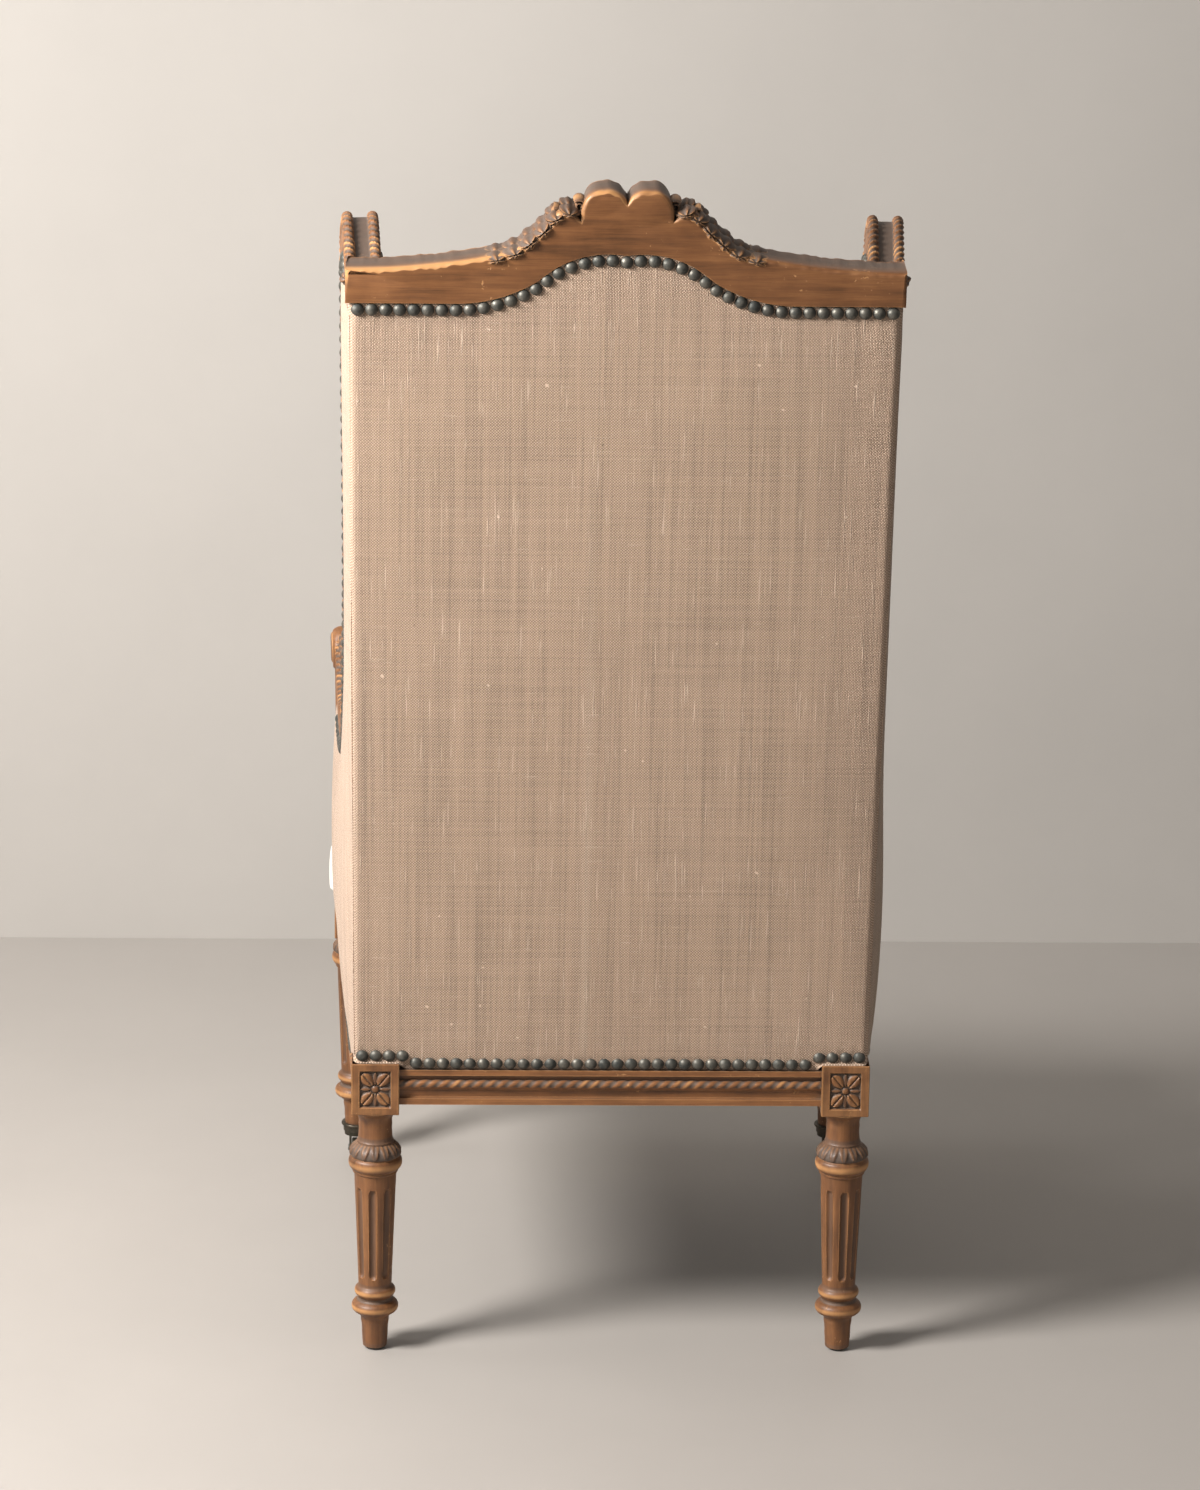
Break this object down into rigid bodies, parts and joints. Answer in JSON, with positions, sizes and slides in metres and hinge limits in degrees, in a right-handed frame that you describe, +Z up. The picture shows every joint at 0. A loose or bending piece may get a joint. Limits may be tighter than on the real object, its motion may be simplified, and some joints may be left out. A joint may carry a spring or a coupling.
{
  "type": "wingback chair",
  "caption": "Tall wing armchair with a carved walnut frame, fluted turned legs, linen outside, white padded inside, loose seat cushion, nailed edges and front casters.",
  "frame": {"origin": "on the floor, under the middle of the chair's box", "axes": "+Z up, the chair faces -Y, +X is the sitter's left"},
  "size_m": [0.5516, 0.6893, 1.1527],
  "materials": {
    "walnut": "old waxed walnut with worn gilt edges",
    "beech": "plain unfinished",
    "linen": "natural slubby linen",
    "white_cover": "plain white cotton",
    "webbing": "plain woven jute",
    "hessian": "open woven jute",
    "black_cloth": "thin black cambric",
    "bronze": "antique bronze",
    "dark_brass": "dark patina",
    "wheel_brass": "dark patina",
    "steel": "dull steel"
  },
  "bodies": {
    "chair": {"left_rear_leg": "walnut", "right_rear_leg": "walnut", "left_front_leg": "walnut", "right_front_leg": "walnut", "left_caster_cup": "dark_brass", "right_caster_cup": "dark_brass", "left_seat_rail": "walnut", "right_seat_rail": "walnut", "left_wing_rail": "walnut", "right_wing_rail": "walnut", "left_arm_rail": "walnut", "right_arm_rail": "walnut", "left_arm_post": "walnut", "right_arm_post": "walnut", "left_tack_rail": "beech", "right_tack_rail": "beech", "left_outside_panel": "linen", "right_outside_panel": "linen", "left_inside_wing_pad": "white_cover", "right_inside_wing_pad": "white_cover", "left_inside_arm_pad": "white_cover", "right_inside_arm_pad": "white_cover", "left_outside_nails": "bronze", "right_outside_nails": "bronze", "left_inside_nails": "bronze", "right_inside_nails": "bronze", "rear_glides": "steel", "rear_seat_rail": "walnut", "front_seat_rail": "walnut", "corner_blocks": "beech", "corner_block_screws": "steel", "crest_rail": "walnut", "back_tack_rail": "beech", "outside_back_panel": "linen", "back_webbing": "webbing", "inside_back_pad": "white_cover", "seat_webbing": "webbing", "seat_hessian": "hessian", "seat_deck": "white_cover", "front_border": "white_cover", "dust_cover": "black_cloth", "back_top_nails": "bronze", "back_bottom_nails": "bronze", "front_nails": "bronze"},
    "left_caster": {"left_caster_fork": "dark_brass", "left_caster_axle": "steel"},
    "left_wheel": {"left_caster_wheel": "wheel_brass"},
    "right_caster": {"right_caster_fork": "dark_brass", "right_caster_axle": "steel"},
    "right_wheel": {"right_caster_wheel": "wheel_brass"},
    "cushion": {"seat_cushion": "white_cover"}
  },
  "joints": [
    {"name": "left_swivel", "type": "hinge", "parent": "chair", "child": "left_caster", "pos_m": [0.24725, -0.31881, 0.0243], "axis": [0, 0, 1], "continuous": true},
    {"name": "left_roll", "type": "hinge", "parent": "left_caster", "child": "left_wheel", "pos_m": [0.24725, -0.30981, 0.01], "axis": [1, 0, 0], "continuous": true},
    {"name": "right_swivel", "type": "hinge", "parent": "chair", "child": "right_caster", "pos_m": [-0.24725, -0.31881, 0.0243], "axis": [0, 0, 1], "continuous": true},
    {"name": "right_roll", "type": "hinge", "parent": "right_caster", "child": "right_wheel", "pos_m": [-0.24725, -0.30981, 0.01], "axis": [1, 0, 0], "continuous": true},
    {"name": "cushion_lift", "type": "slide", "parent": "chair", "child": "cushion", "axis": [0, 0, 1], "range_m": [0, 0.85]}
  ]
}
